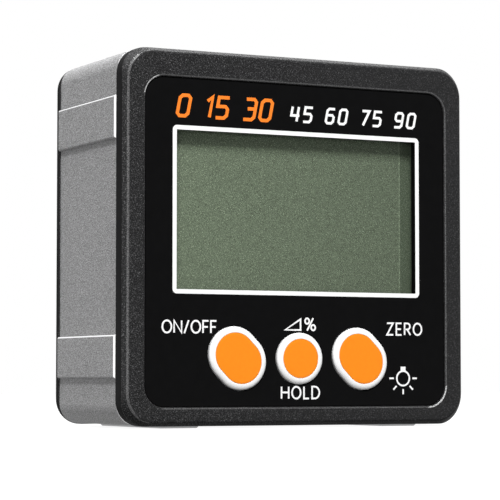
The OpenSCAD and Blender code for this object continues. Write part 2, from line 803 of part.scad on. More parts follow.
module spring(turn) {
    points = [for (i = [0 : wire_rings]) for (j = [0 : wire_sides - 1]) wire_point(i / wire_rings, 360 * j / wire_sides)];
    walls = [
        for (i = [0 : wire_rings - 1]) for (j = [0 : wire_sides - 1])
            let (a = i * wire_sides, b = a + wire_sides, k = (j + 1) % wire_sides)
            each [[a + j, b + j, b + k], [a + j, b + k, a + k]]
    ];
    ends = [
        [for (j = [0 : wire_sides - 1]) j],
        [for (j = [wire_sides - 1 : -1 : 0]) wire_rings * wire_sides + j]
    ];
    rotate([0, turn, 0]) translate([contact_t - bay_len / 2, cell_y, cell_pitch / 2])
        polyhedron(points, concat(walls, ends));
}

module negative_spring() { color(steel) place() spring(0); }
module bridge_spring() { color(steel) place() spring(180); }

module base_magnets() {
    color([0.45, 0.46, 0.48]) place() for (s = [-1, 1])
        translate([s * magnet_x - magnet_w / 2, magnet_y0, -inner_h / 2 - groove_depth])
            cube([magnet_w, magnet_len, magnet_t]);
}

frame();
front_bezel();
front_panel();
display_window();
lcd_polariser();
lcd_glass();
light_guide();
backlight_leds();
contact_strip();
circuit_board();
controller_chip();
tilt_sensor();
timing_crystal();
power_switch();
hold_switch();
zero_switch();
board_screws();
back_cover();
battery_door();
upper_cell();
lower_cell();
positive_contact();
negative_contact();
bridge_contact();
negative_spring();
bridge_spring();
base_magnets();
case_screws();
power_key();
hold_key();
zero_key();
power_key_insert();
hold_key_insert();
zero_key_insert();
power_plunger();
hold_plunger();
zero_plunger();
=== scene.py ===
import json
import math

import bmesh
import bpy
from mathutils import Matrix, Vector

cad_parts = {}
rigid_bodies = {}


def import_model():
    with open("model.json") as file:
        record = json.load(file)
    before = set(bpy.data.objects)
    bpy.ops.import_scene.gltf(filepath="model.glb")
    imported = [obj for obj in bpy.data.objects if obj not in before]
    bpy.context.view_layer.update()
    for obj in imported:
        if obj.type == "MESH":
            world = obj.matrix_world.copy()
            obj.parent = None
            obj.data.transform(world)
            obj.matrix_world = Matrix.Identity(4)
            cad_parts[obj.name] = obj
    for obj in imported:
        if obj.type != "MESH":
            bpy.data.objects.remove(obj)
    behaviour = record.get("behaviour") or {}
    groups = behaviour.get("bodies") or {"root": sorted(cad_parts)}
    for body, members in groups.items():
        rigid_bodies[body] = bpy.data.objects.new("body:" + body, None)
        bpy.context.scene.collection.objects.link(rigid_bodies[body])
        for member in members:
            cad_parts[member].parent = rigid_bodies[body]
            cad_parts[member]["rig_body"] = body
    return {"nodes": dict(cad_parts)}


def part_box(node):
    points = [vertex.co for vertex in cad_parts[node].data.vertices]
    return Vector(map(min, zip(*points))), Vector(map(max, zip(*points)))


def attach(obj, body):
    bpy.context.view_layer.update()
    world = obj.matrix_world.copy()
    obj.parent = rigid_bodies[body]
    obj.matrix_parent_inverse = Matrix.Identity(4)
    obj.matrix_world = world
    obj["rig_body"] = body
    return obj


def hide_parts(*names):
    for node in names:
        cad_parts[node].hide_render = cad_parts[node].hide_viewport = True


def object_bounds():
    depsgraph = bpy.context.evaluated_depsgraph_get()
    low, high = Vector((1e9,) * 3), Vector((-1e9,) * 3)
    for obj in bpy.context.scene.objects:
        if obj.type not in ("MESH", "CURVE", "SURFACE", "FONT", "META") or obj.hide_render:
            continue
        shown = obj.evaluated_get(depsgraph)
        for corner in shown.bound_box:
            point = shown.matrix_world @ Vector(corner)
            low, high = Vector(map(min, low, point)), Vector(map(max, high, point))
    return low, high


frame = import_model()
cad_box = [list(corner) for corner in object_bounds()]

# Camera: a long lens to the left of the gauge's front and just above the ground,
# looking slightly up. The focal length is in pixels of a 500 pixel wide picture.
PICTURE_PX = 500
FOCAL_PX = 2223.1
SENSOR_MM = 36
CAMERA_AT = (-0.15425, -0.30192, 0.00713)
CAMERA_TURN = math.radians(26.822)
CAMERA_TILT = math.radians(3.315)

scene = bpy.context.scene
lens = bpy.data.cameras.new("photo_lens")
lens.sensor_width = SENSOR_MM
lens.lens = SENSOR_MM * FOCAL_PX / PICTURE_PX
lens.clip_start = 0.01
camera = bpy.data.objects.new("photo_camera", lens)
camera.location = CAMERA_AT
camera.rotation_euler = (math.pi / 2 + CAMERA_TILT, 0, -CAMERA_TURN)
scene.collection.objects.link(camera)
scene.camera = camera

# Studio: a white paper floor that keeps the gauge's shadow, a white surround that shows
# behind it and in its gloss, and soft boxes high in front, above the left side and high
# behind, with a small one beside the camera.
FLOOR_SIDE = 1.3
FLOOR_DROP = 0.00002
PAPER_TONE = (0.11, 0.11, 0.11, 1)
PAPER_GLOW = 0.92
SURROUND_LEVEL = 0.15
SOFT_BOXES = (
    ("front_box", (-0.12, -0.54, 0.72), 0.27, 10.3),
    ("side_box", (-0.30, 0.03, 0.69), 0.09, 8.0),
    ("rear_box", (0.30, 0.32, 0.72), 0.36, 5.5),
    ("camera_box", (-0.56, -0.74, 0.14), 0.10, 1.4),
)

scene.view_settings.view_transform = "Standard"


def seen_directly(tree):
    """One where a ray comes from the eye, a mirror or a pane, and none in plain light"""
    path = tree.nodes.new("ShaderNodeLightPath")
    either = tree.nodes.new("ShaderNodeMath")
    either.operation = "MAXIMUM"
    tree.links.new(path.outputs["Is Camera Ray"], either.inputs[0])
    tree.links.new(path.outputs["Is Glossy Ray"], either.inputs[1])
    any_of = tree.nodes.new("ShaderNodeMath")
    any_of.operation = "MAXIMUM"
    tree.links.new(either.outputs[0], any_of.inputs[0])
    tree.links.new(path.outputs["Is Transmission Ray"], any_of.inputs[1])
    return any_of.outputs[0]


surround = bpy.data.worlds.new("white_surround")
surround.use_nodes = True
sky = surround.node_tree
plain_light = sky.nodes["Background"]
plain_light.inputs["Color"].default_value = (1, 1, 1, 1)
plain_light.inputs["Strength"].default_value = SURROUND_LEVEL
white_wall = sky.nodes.new("ShaderNodeBackground")
white_wall.inputs["Color"].default_value = (1, 1, 1, 1)
white_wall.inputs["Strength"].default_value = 1.0
pick = sky.nodes.new("ShaderNodeMixShader")
sky.links.new(seen_directly(sky), pick.inputs[0])
sky.links.new(plain_light.outputs[0], pick.inputs[1])
sky.links.new(white_wall.outputs[0], pick.inputs[2])
sky.links.new(pick.outputs[0], sky.nodes["World Output"].inputs["Surface"])
scene.world = surround

paper = bpy.data.materials.new("white_paper")
paper.use_nodes = True
sheet = paper.node_tree
sheet.nodes.remove(sheet.nodes["Principled BSDF"])
matte = sheet.nodes.new("ShaderNodeBsdfDiffuse")
matte.inputs["Color"].default_value = PAPER_TONE
glow = sheet.nodes.new("ShaderNodeEmission")
lift = sheet.nodes.new("ShaderNodeMath")
lift.operation = "MULTIPLY"
lift.inputs[1].default_value = PAPER_GLOW
both = sheet.nodes.new("ShaderNodeAddShader")
sheet.links.new(seen_directly(sheet), lift.inputs[0])
sheet.links.new(lift.outputs[0], glow.inputs["Strength"])
sheet.links.new(matte.outputs[0], both.inputs[0])
sheet.links.new(glow.outputs[0], both.inputs[1])
sheet.links.new(both.outputs[0], sheet.nodes["Material Output"].inputs["Surface"])

half = FLOOR_SIDE / 2
floor_mesh = bpy.data.meshes.new("floor")
floor_mesh.from_pydata(
    [(x, y, -FLOOR_DROP) for x, y in ((-half, -half), (half, -half), (half, half), (-half, half))],
    [], [(0, 1, 2, 3)])
floor_mesh.materials.append(paper)
floor = bpy.data.objects.new("floor", floor_mesh)
scene.collection.objects.link(floor)

middle = (Vector(cad_box[0]) + Vector(cad_box[1])) / 2
for box_name, box_at, box_side, box_watts in SOFT_BOXES:
    lamp = bpy.data.lights.new(box_name, "AREA")
    lamp.size = box_side
    lamp.energy = box_watts
    soft_box = bpy.data.objects.new(box_name, lamp)
    soft_box.location = box_at
    soft_box.rotation_euler = (middle - Vector(box_at)).to_track_quat("-Z", "Y").to_euler()
    scene.collection.objects.link(soft_box)

# Frame: a square tube of extruded aluminium with two raised rails on each side, bead
# blasted and anodised grey, then sawn to length, which leaves its ends bright. The base
# rails' faces get a duller metal grey, so that their ends are not bright: painted shade
# near the floor. The other rails' upward-facing edges get the bright sawn finish: a
# painted highlight of the light from above.
MM = 0.001
ALUMINIUM_GREY = (0.184, 0.184, 0.186)
# Bright bare metal of the sawn ends, also used as a painted highlight on upward rail edges.
BARE_AND_LIT_ALUMINIUM = (0.86, 0.86, 0.87)
# Duller grey of the base rails: painted shade near the floor.
BASE_SHADE_ALUMINIUM = (0.36, 0.36, 0.365)
FRAME_EDGE = 0.05
RAIL_BEVEL = 0.2
BASE_RAIL = 0.45
FRAME_SKIN = 2
LIT_UPWARD = 0.35
END_FACING = 0.5
BLASTED, ON_SAWN_OR_LIT, ON_BASE_SHADE = range(3)
GRAIN_TURN = (0.4, 0.7, 1.1)
GRAIN_DETAIL = 3
GRAIN_MIDDLE = 0.5
GLINT_AT = 1.8
SHARP_CORNER = math.radians(24)
SMOOTH_BELOW = math.radians(35)
FLAT_WITHIN = math.radians(0.5)
WELD = 0.0002
FINE_STEPS = 2


def finish(name, colour, rough, grain, tone=0.08, gloss_swing=0.04, relief=0.0, spread=0.22,
           glints=0, **sockets):
    """Material whose tone, gloss and relief follow a fine grain, its brightest specks painted glints;
    grain and relief are in mm
    """
    low, high = GRAIN_MIDDLE - spread, GRAIN_MIDDLE + spread
    made = bpy.data.materials.new(name)
    made.use_nodes = True
    tree = made.node_tree
    skin = tree.nodes["Principled BSDF"]
    for socket, value in sockets.items():
        skin.inputs[socket.replace("_", " ")].default_value = value
    place = tree.nodes.new("ShaderNodeTexCoord")
    speckle = tree.nodes.new("ShaderNodeTexNoise")
    speckle.inputs["Scale"].default_value = 1 / (grain * MM)
    speckle.inputs["Detail"].default_value = GRAIN_DETAIL
    turned = tree.nodes.new("ShaderNodeMapping")
    turned.inputs["Rotation"].default_value = GRAIN_TURN
    tree.links.new(place.outputs["Object"], turned.inputs["Vector"])
    tree.links.new(turned.outputs["Vector"], speckle.inputs["Vector"])
    shade = tree.nodes.new("ShaderNodeValToRGB")
    shade.color_ramp.elements[0].position = low
    shade.color_ramp.elements[0].color = [c * (1 - tone) for c in colour] + [1]
    shade.color_ramp.elements[1].position = high
    shade.color_ramp.elements[1].color = [min(c * (1 + tone), 1) for c in colour] + [1]
    # Brightest specks of the grain: painted glints.
    if glints:
        glint_stop = shade.color_ramp.elements.new(GRAIN_MIDDLE + GLINT_AT * spread)
        glint_stop.color = [min(c * glints, 1) for c in colour] + [1]
    tree.links.new(speckle.outputs["Fac"], shade.inputs["Fac"])
    tree.links.new(shade.outputs["Color"], skin.inputs["Base Color"])
    gloss = tree.nodes.new("ShaderNodeMapRange")
    gloss.inputs["From Min"].default_value = low
    gloss.inputs["From Max"].default_value = high
    gloss.inputs["To Min"].default_value = rough - gloss_swing
    gloss.inputs["To Max"].default_value = rough + gloss_swing
    tree.links.new(speckle.outputs["Fac"], gloss.inputs["Value"])
    tree.links.new(gloss.outputs["Result"], skin.inputs["Roughness"])
    if relief:
        bump = tree.nodes.new("ShaderNodeBump")
        bump.inputs["Distance"].default_value = relief * MM
        tree.links.new(speckle.outputs["Fac"], bump.inputs["Height"])
        tree.links.new(bump.outputs["Normal"], skin.inputs["Normal"])
    return made


def keep_corners(shape):
    """Marks the edges that stay sharp where a piece is shaded smooth"""
    shape.normal_update()
    for edge in shape.edges:
        edge.smooth = edge.calc_face_angle(0) < SMOOTH_BELOW


def eased(node, name, finishes, rounds):
    """Copy of a CAD piece with rounded edges; rounds holds width in mm, steps, finish and where"""
    shape = bmesh.new()
    shape.from_mesh(frame["nodes"][node].data)
    bmesh.ops.scale(shape, vec=Vector((1, 1, 1)) / MM, verts=shape.verts)
    bmesh.ops.remove_doubles(shape, verts=shape.verts, dist=WELD)
    bmesh.ops.dissolve_limit(shape, angle_limit=FLAT_WITHIN, verts=shape.verts, edges=shape.edges)
    for width, steps, skin, where in rounds:
        edges = [e for e in shape.edges if e.is_manifold and e.calc_face_angle() > SHARP_CORNER
                 and where((e.verts[0].co + e.verts[1].co) / 2)]
        bmesh.ops.bevel(shape, geom=edges, offset=width, offset_type="OFFSET", segments=steps,
                        profile=0.5, affect="EDGES", clamp_overlap=True, material=skin)
    bmesh.ops.triangulate(shape, faces=[f for f in shape.faces if len(f.verts) > 4])
    bmesh.ops.dissolve_degenerate(shape, dist=WELD, edges=shape.edges)
    keep_corners(shape)
    bmesh.ops.scale(shape, vec=Vector((1, 1, 1)) * MM, verts=shape.verts)
    mesh = bpy.data.meshes.new(name)
    shape.to_mesh(mesh)
    shape.free()
    for made in finishes:
        mesh.materials.append(made)
    mesh.polygons.foreach_set("use_smooth", [True] * len(mesh.polygons))
    piece = bpy.data.objects.new(name, mesh)
    scene.collection.objects.link(piece)
    even = piece.modifiers.new("even_normals", "WEIGHTED_NORMAL")
    even.keep_sharp = True
    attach(piece, frame["nodes"][node]["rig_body"])
    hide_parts(node)
    return piece


blasted = finish("blasted_aluminium", ALUMINIUM_GREY, rough=0.5, grain=0.14, tone=0.72, gloss_swing=0.08,
                 relief=0.025, spread=0.11, glints=2.4, Metallic=0.2, Specular_IOR_Level=0.3)
sawn_or_lit = finish("sawn_ends_and_painted_highlight", BARE_AND_LIT_ALUMINIUM, rough=0.38, grain=0.14, tone=0.06, relief=0.004,
              Metallic=0.9)
base_shade = finish("base_rail_painted_shade", BASE_SHADE_ALUMINIUM, rough=0.45, grain=0.14, tone=0.1, relief=0.004,
                Metallic=0.9)
frame_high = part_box("frame")[1] / MM
frame_out = eased("frame", "frame_tube", [blasted, sawn_or_lit, base_shade], [
    (FRAME_EDGE, FINE_STEPS, BLASTED, lambda p: abs(p.x) > frame_high.x - FRAME_SKIN
     or not FRAME_SKIN < p.z < frame_high.z - FRAME_SKIN)])
for face in frame_out.data.polygons:
    on_bevel = abs(face.center.x) / MM > frame_high.x - RAIL_BEVEL - FRAME_EDGE
    # Base rail faces, ends included, get the duller grey: painted shade.
    if face.center.z / MM < BASE_RAIL:
        face.material_index = ON_BASE_SHADE
    # Upward faces of the rail bevels get the bright sawn finish: painted highlight.
    elif on_bevel and face.normal.z > LIT_UPWARD or abs(face.normal.y) > END_FACING:
        face.material_index = ON_SAWN_OR_LIT

# Base magnets: two nickel-plated bars glued into grooves inside the frame's base, so
# that the gauge holds on to steel.
NICKEL = (0.58, 0.57, 0.55)


def dress(made, *nodes):
    """Gives CAD pieces a finish"""
    for node in nodes:
        for place in frame["nodes"][node].material_slots:
            place.material = made


dress(finish("nickel_plate", NICKEL, rough=0.24, grain=0.6, tone=0.05, Metallic=1.0), "base_magnets")

# Front bezel: a black moulding with a spark-eroded matte skin. Towards the right its
# painted glints fade into plain black and its relief is lower: painted shade on the side
# away from the light. Its side walls are a darker black, painted shade; its left front
# edge and the recess's edge, but for most of its left side, are a lighter, glossier
# black, a painted highlight, with painted glints on two corners of the recess. Its lip
# plugs into the frame, and the shallow recess takes the printed panel.
CASE_BLACK = (0.022, 0.022, 0.0225)
# Side walls: a darker black, painted shade.
SHADED_WALL_BLACK = (0.007, 0.007, 0.0072)
# Left front edge and recess edge: a lighter, glossier black, painted highlight.
LIT_EDGE_BLACK = (0.05, 0.05, 0.051)
# Two recess corners: grey, a painted glint.
GLINT_GREY = (0.42, 0.42, 0.42)
# Share of plain black from left to right: the painted glints and tone fade, painted shade on the right.
PAINTED_FADE = ((0.2, 0.0), (0.75, 0.42))
RELIEF_FADE = ((0.2, 1.0), (0.75, 0.65))
BEZEL_EDGE = 0.22
OUTER_BAND = 2
TAPER_FROM, TAPER_TO = 0.5, 1.9
LIT_EDGE_REACH, LIT_EDGE_FADE = 1.5, 9.8
RECESS_EDGE = 0.11
RECESS_GAP = 1.2
RECESS_DEEP = 0.25
LIT_FROM_LEFT, LIT_FROM_TOP = 2.5, 3
CORNER_REACH = 4.6
GLINT_REACH, GLINT_DROP = 1.8, 2.52
AT_FACE = 0.1
WALL_FACING = 0.2
ROUND_STEPS = 3
ON_SKIN, ON_SHADED_WALL, ON_LIT_EDGE, ON_GLINT_RIM = range(4)
MIX_SHARE, MIX_FIRST, MIX_SECOND, MIX_RESULT = 0, 6, 7, 2

moulded = finish("spark_textured_black", CASE_BLACK, rough=0.42, grain=0.14, tone=0.5, gloss_swing=0.14,
                 relief=0.05, spread=0.1, glints=7, Specular_IOR_Level=0.035)


def across(tree, stops):
    """Tones that change from the left to the right of a piece, given as place and tone"""
    place = tree.nodes.new("ShaderNodeTexCoord")
    slope = tree.nodes.new("ShaderNodeTexGradient")
    tree.links.new(place.outputs["Generated"], slope.inputs["Vector"])
    ramp = tree.nodes.new("ShaderNodeValToRGB")
    points = ramp.color_ramp.elements
    while len(points) < len(stops):
        points.new(0.5)
    for point, (at, tone) in zip(points, stops):
        point.position = at
        point.color = (tone, tone, tone, 1)
    tree.links.new(slope.outputs["Fac"], ramp.inputs["Fac"])
    return ramp.outputs["Color"]


def mixed(made, way):
    """Puts a colour mix in front of a finish and gives its factor and its second colour"""
    tree = made.node_tree
    base = tree.nodes["Principled BSDF"].inputs["Base Color"]
    mix = tree.nodes.new("ShaderNodeMix")
    mix.data_type = "RGBA"
    mix.blend_type = way
    tree.links.new(base.links[0].from_socket, mix.inputs[MIX_FIRST])
    tree.links.new(mix.outputs[MIX_RESULT], base)
    return mix.inputs[MIX_SHARE], mix.inputs[MIX_SECOND]


# Glints and tone fade into plain black towards the right: painted shade away from the light; the relief
# fades there too.
bezel_skin = moulded.copy()
bezel_skin.name = "black_with_painted_fade"
tree = bezel_skin.node_tree
share, plain = mixed(bezel_skin, "MIX")
plain.default_value = (*CASE_BLACK, 1)
tree.links.new(across(tree, PAINTED_FADE), share)
tree.links.new(across(tree, RELIEF_FADE), tree.nodes["Bump"].inputs["Strength"])
# Darker black for the side walls: painted shade.
shaded_wall = finish("painted_shade_black_wall", SHADED_WALL_BLACK, rough=0.5, grain=0.3, tone=0.3, relief=0.01,
                    Specular_IOR_Level=0.012)
# Lighter, glossier black for the lit edges: painted highlight.
lit_edge_finish = finish("painted_highlight_black_edge", LIT_EDGE_BLACK, rough=0.3, grain=0.12, tone=0.8, gloss_swing=0.12,
                relief=0.03, spread=0.12, Specular_IOR_Level=0.4)
# Grey for two corners of the recess's edge: painted glint.
painted_glint_rim = finish("painted_glint_rim", GLINT_GREY, rough=0.3, grain=0.12, tone=0.7, relief=0.02, spread=0.12)
bezel_low, bezel_high = (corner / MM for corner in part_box("front_bezel"))
panel_low, panel_high = (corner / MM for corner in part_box("front_panel"))


def past_side(p, low, high):
    """How far a point lies inside the nearest side of a box, seen from the front"""
    return min(p.x - low.x, high.x - p.x, p.z - low.z, high.z - p.z)


bezel = eased("front_bezel", "bezel_moulding", [bezel_skin, shaded_wall, lit_edge_finish, painted_glint_rim], [
    (RECESS_EDGE, FINE_STEPS, ON_LIT_EDGE,
     lambda p: past_side(p, panel_low, panel_high) > -RECESS_GAP and p.y < bezel_low.y + RECESS_DEEP
     and past_side(p, bezel_low, bezel_high) > OUTER_BAND),
    (BEZEL_EDGE, ROUND_STEPS, ON_LIT_EDGE,
     lambda p: past_side(p, bezel_low, bezel_high) < OUTER_BAND and p.y < bezel_low.y + AT_FACE),
    (BEZEL_EDGE, ROUND_STEPS, ON_SKIN,
     lambda p: past_side(p, bezel_low, bezel_high) < OUTER_BAND
     and TAPER_FROM < p.y - bezel_low.y < TAPER_TO)])
# The painted highlight stays on the left front edge and on the recess's edge but for most of its left
# side.
for face in bezel.data.polygons:
    at = face.center / MM
    outer = past_side(at, bezel_low, bezel_high) < OUTER_BAND
    if outer:
        lit_edge = at.x < bezel_low.x + LIT_EDGE_REACH + LIT_EDGE_FADE * (1 + face.normal.y)
    else:
        lit_edge = at.y < bezel_low.y + RECESS_EDGE and (
            at.x > panel_low.x + LIT_FROM_LEFT or at.z > panel_high.z - LIT_FROM_TOP)
    # Two corners of the recess's edge get a painted glint.
    lower_right = at.x > panel_high.x - CORNER_REACH and at.z < panel_low.z + CORNER_REACH
    upper_left = at.x < panel_low.x + GLINT_REACH and at.z > panel_high.z - GLINT_DROP
    if face.material_index == ON_LIT_EDGE and not lit_edge:
        face.material_index = ON_SKIN
    if face.material_index == ON_LIT_EDGE and not outer and (lower_right or upper_left):
        face.material_index = ON_GLINT_RIM
    # Sideways faces get the darker wall black: painted shade.
    if face.material_index == ON_SKIN and abs(face.normal.y) < WALL_FACING:
        face.material_index = ON_SHADED_WALL

# Front panel: a polished black plastic sheet, printed and bonded into the recess, cut
# out for the window and for the three keys.
PANEL_BLACK = (0.0035, 0.0035, 0.0037)
PANEL_EDGE = 0.05

polished = finish("polished_black_sheet", PANEL_BLACK, rough=0.16, grain=1.5, tone=0.1, gloss_swing=0.03,
                  Specular_IOR_Level=0.03)
panel = eased("front_panel", "printed_panel", [polished], [
    (PANEL_EDGE, FINE_STEPS, ON_SKIN, lambda p: p.y < panel_low.y + AT_FACE)])

# Window line: a white line screen-printed on the panel along the window's edge.
INK_WHITE = (0.93, 0.93, 0.93)
INK_PROUD = 0.012
INK_DEEP = 0.02
INK_LAYER, INK_LAYERS = 0.002, 3
MITRE_LIMIT = 0.5
WINDOW_LINE = 0.63
LINE_CORNER, LINE_STEPS = 0.36, 6
PANE_MARGIN = 1.6

white_ink = finish("white_ink", INK_WHITE, rough=0.3, grain=0.25, tone=0.02, Specular_IOR_Level=0.2)
ink_front = panel_low.y - INK_PROUD
ink_back = panel_low.y + INK_DEEP


def stroke(shape, path, width, closed, sunk):
    """One printed stroke: a thin flat bar along x and z points in mm, mitred where it turns"""
    rows = []
    for i, here in enumerate(path):
        here = Vector(here)
        before = here - Vector(path[i - 1]) if i or closed else None
        after = Vector(path[(i + 1) % len(path)]) - here if closed or i < len(path) - 1 else None
        before, after = (before or after).normalized(), (after or before).normalized()
        out = Vector((-before.y, before.x))
        mitre = (out + Vector((-after.y, after.x))).normalized()
        side = mitre * width / 2 / max(mitre.dot(out), MITRE_LIMIT)
        rows.append([shape.verts.new((p.x * MM, y * MM, p.y * MM))
                     for y in (ink_front + sunk, ink_back) for p in (here + side, here - side)])
    for i in range(len(rows) if closed else len(rows) - 1):
        a, b = rows[i], rows[(i + 1) % len(rows)]
        for j, k in ((0, 1), (1, 3), (3, 2), (2, 0)):
            shape.faces.new((a[j], a[k], b[k], b[j]))
    if not closed:
        for end in (rows[0], rows[-1]):
            shape.faces.new((end[0], end[1], end[3], end[2]))


def print_ink(name, strokes, ink):
    """Prints strokes of width, closed or open, and path on the panel"""
    shape = bmesh.new()
    for i, (width, closed, path) in enumerate(strokes):
        stroke(shape, path, width, closed, INK_LAYER * (i % INK_LAYERS))
    bmesh.ops.recalc_face_normals(shape, faces=shape.faces)
    mesh = bpy.data.meshes.new(name)
    shape.to_mesh(mesh)
    shape.free()
    mesh.materials.append(ink)
    piece = bpy.data.objects.new(name, mesh)
    scene.collection.objects.link(piece)
    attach(piece, "case")


def bow(x, z, rx, rz, start, end, steps):
    """Points along part of an ellipse, from start to end in degrees"""
    turns = [math.radians(start + (end - start) * i / steps) for i in range(steps + 1)]
    return [(x + rx * math.cos(t), z + rz * math.sin(t)) for t in turns]


pane_low, pane_high = (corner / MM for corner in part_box("display_window"))
line_x = (pane_high.x - pane_low.x) / 2 - PANE_MARGIN + WINDOW_LINE / 2
line_z = (pane_high.z - pane_low.z) / 2 - PANE_MARGIN + WINDOW_LINE / 2
line_mid = (pane_high.z + pane_low.z) / 2
window_line = []
for sx, sz, start in ((1, 1, 0), (-1, 1, 90), (-1, -1, 180), (1, -1, 270)):
    window_line += bow(sx * (line_x - LINE_CORNER), line_mid + sz * (line_z - LINE_CORNER),
                       LINE_CORNER, LINE_CORNER, start, start + 90, LINE_STEPS)
print_ink("window_line", [(WINDOW_LINE, True, window_line)], white_ink)

# Angle scale: plain slanted numerals printed above the window, the first three in
# orange and the rest, smaller, in white.
INK_ORANGE = (0.95, 0.225, 0.022)
CASE_MIDDLE = (bezel_low.z + bezel_high.z) / 2
NUMERAL_W = 0.56
NUMERAL_CUT = 0.13
WAIST = 0.56
LEAN = 0.2
ORANGE_SCALE = ("0 15 30", -20.2, -4.1, 17.25, 20.75, 0.5)
WHITE_SCALE = ("45 60 75 90", -1.67, 20.3, 17.46, 20.0, 0.38)

orange_ink = finish("orange_ink", INK_ORANGE, rough=0.3, grain=0.25, tone=0.03, Specular_IOR_Level=0.2)


def numeral(*corners, closed=False):
    """A stroke through corners given as multiples of the numeral's width and height"""
    return closed, [(x * NUMERAL_W, z) for x, z in corners]


cut_x, cut_z = NUMERAL_CUT / NUMERAL_W, NUMERAL_CUT
GLYPHS = {
    " ": (0.3, []),
    "0": (NUMERAL_W, [numeral((cut_x, 0), (1 - cut_x, 0), (1, cut_z), (1, 1 - cut_z), (1 - cut_x, 1),
                              (cut_x, 1), (0, 1 - cut_z), (0, cut_z), closed=True)]),
    "1": (0.26, [numeral((0, 0.78), (0.42, 1), (0.42, 0))]),
    "3": (NUMERAL_W, [numeral((0, 1), (1 - cut_x, 1), (1, 1 - cut_z), (1, cut_z), (1 - cut_x, 0),
                              (0, 0)),
                      numeral((0.25, 0.53), (0.9, 0.53))]),
    "4": (NUMERAL_W, [numeral((0, 1), (0, 0.4), (1.12, 0.4)), numeral((0.86, 1), (0.86, 0))]),
    "5": (NUMERAL_W, [numeral((1, 1), (0, 1), (0, WAIST), (1 - cut_x, WAIST), (1, WAIST - cut_z),
                              (1, cut_z), (1 - cut_x, 0), (0, 0))]),
    "6": (NUMERAL_W, [numeral((1, 1), (cut_x, 1), (0, 1 - cut_z), (0, cut_z), (cut_x, 0), (1 - cut_x, 0),
                              (1, cut_z), (1, WAIST - cut_z), (1 - cut_x, WAIST), (0.1, WAIST))]),
    "7": (NUMERAL_W, [numeral((0, 1), (1, 1), (0.4, 0))]),
    "9": (NUMERAL_W, [numeral((0, 0), (1 - cut_x, 0), (1, cut_z), (1, 1 - cut_z), (1 - cut_x, 1),
                              (cut_x, 1), (0, 1 - cut_z), (0, 1 - WAIST + cut_z), (cut_x, 1 - WAIST),
                              (0.9, 1 - WAIST))]),
}


def lettering(words, left, right, low, high, width, lean=0.0):
    """Strokes of a line of signs that fills a box on the panel, in mm from the case's middle"""
    low, high = low + width / 2, high - width / 2
    left, right = left + width / 2, right - width / 2
    height = high - low
    filled = sum(GLYPHS[sign][0] for sign in words) * height + lean * height
    gap = (right - left - filled) / max(len(words) - 1, 1)
    strokes = []
    for sign in words:
        wide, lines = GLYPHS[sign]
        for closed, path in lines:
            strokes.append((width, closed, [
                (left + (x + lean * z) * height, CASE_MIDDLE + low + z * height) for x, z in path]))
        left += wide * height + gap
    return strokes


print_ink("orange_numerals", lettering(*ORANGE_SCALE, lean=LEAN), orange_ink)
print_ink("white_numerals", lettering(*WHITE_SCALE, lean=LEAN), white_ink)

# Key signs: ON/OFF, HOLD and ZERO, a slope sign and a lamp sign beside the keys, in the
# same white ink.
SIGN_STROKE = 0.26
KEY_WORDS = (
    ("ON/OFF", -22.3, -13.5, -13.9, -11.9),
    ("HOLD", -3.1, 3.46, -23.4, -21.4),
    ("ZERO", 14.8, 21.1, -13.9, -11.9),
    ("%", 0.8, 3.0, -13.4, -11.3),
)
SLOPE_SIGN = ((-2.35, -13.2), (0.2, -13.2), (0.2, -11.6))
LAMP_AT = (17.7, -20.3)
LAMP_R = 1.1
LAMP_RAYS = (0, 180, 225, 270, 315)
RAY_FROM, RAY_TO = 1.62, 2.4
LAMP_CAP_W = 0.86
LAMP_CAP_TOP = 1.75

GLYPHS.update({
    "O": (0.82, [(True, bow(0.41, 0.5, 0.41, 0.5, 0, 345, 23))]),
    "N": (0.68, [(False, [(0, 0), (0, 1), (0.68, 0), (0.68, 1)])]),
    "/": (0.4, [(False, [(0, -0.04), (0.4, 1.04)])]),
    "F": (0.48, [(False, [(0, 0), (0, 1), (0.5, 1)]), (False, [(0, 0.5), (0.44, 0.5)])]),
    "H": (0.68, [(False, [(0, 0), (0, 1)]), (False, [(0.68, 0), (0.68, 1)]),
                 (False, [(0, 0.52), (0.68, 0.52)])]),
    "L": (0.46, [(False, [(0, 1), (0, 0), (0.48, 0)])]),
    "D": (0.7, [(True, [(0, 0), (0, 1)] + bow(0.26, 0.5, 0.44, 0.5, 90, -90, 12))]),
    "Z": (0.6, [(False, [(0, 1), (0.6, 1), (0, 0), (0.62, 0)])]),
    "E": (0.5, [(False, [(0.52, 1), (0, 1), (0, 0), (0.52, 0)]), (False, [(0, 0.5), (0.46, 0.5)])]),
    "R": (0.56, [(False, [(0, 0), (0, 1)] + bow(0.27, 0.74, 0.27, 0.26, 90, -90, 10) + [(0, 0.48)]),
                 (False, [(0.26, 0.48), (0.58, 0)])]),
    "%": (0.95, [(True, bow(0.2, 0.76, 0.19, 0.22, 0, 330, 11)),
                 (True, bow(0.75, 0.24, 0.19, 0.22, 0, 330, 11)), (False, [(0.2, 0), (0.75, 1)])]),
})

signs = [line for words in KEY_WORDS for line in lettering(*words, SIGN_STROKE)]
signs.append((SIGN_STROKE, True, [(x, CASE_MIDDLE + z) for x, z in SLOPE_SIGN]))
lamp_x, lamp_z = LAMP_AT[0], CASE_MIDDLE + LAMP_AT[1]
signs.append((SIGN_STROKE, True, bow(lamp_x, lamp_z, LAMP_R, LAMP_R, 0, 345, 23)))
signs.append((LAMP_CAP_W, False, [(lamp_x, lamp_z + LAMP_R), (lamp_x, lamp_z + LAMP_CAP_TOP)]))
for ray in LAMP_RAYS:
    aim = Vector((math.cos(math.radians(ray)), math.sin(math.radians(ray))))
    signs.append((SIGN_STROKE, False, [
        (lamp_x + aim.x * r, lamp_z + aim.y * r) for r in (RAY_FROM, RAY_TO)]))
print_ink("key_signs", signs, white_ink)

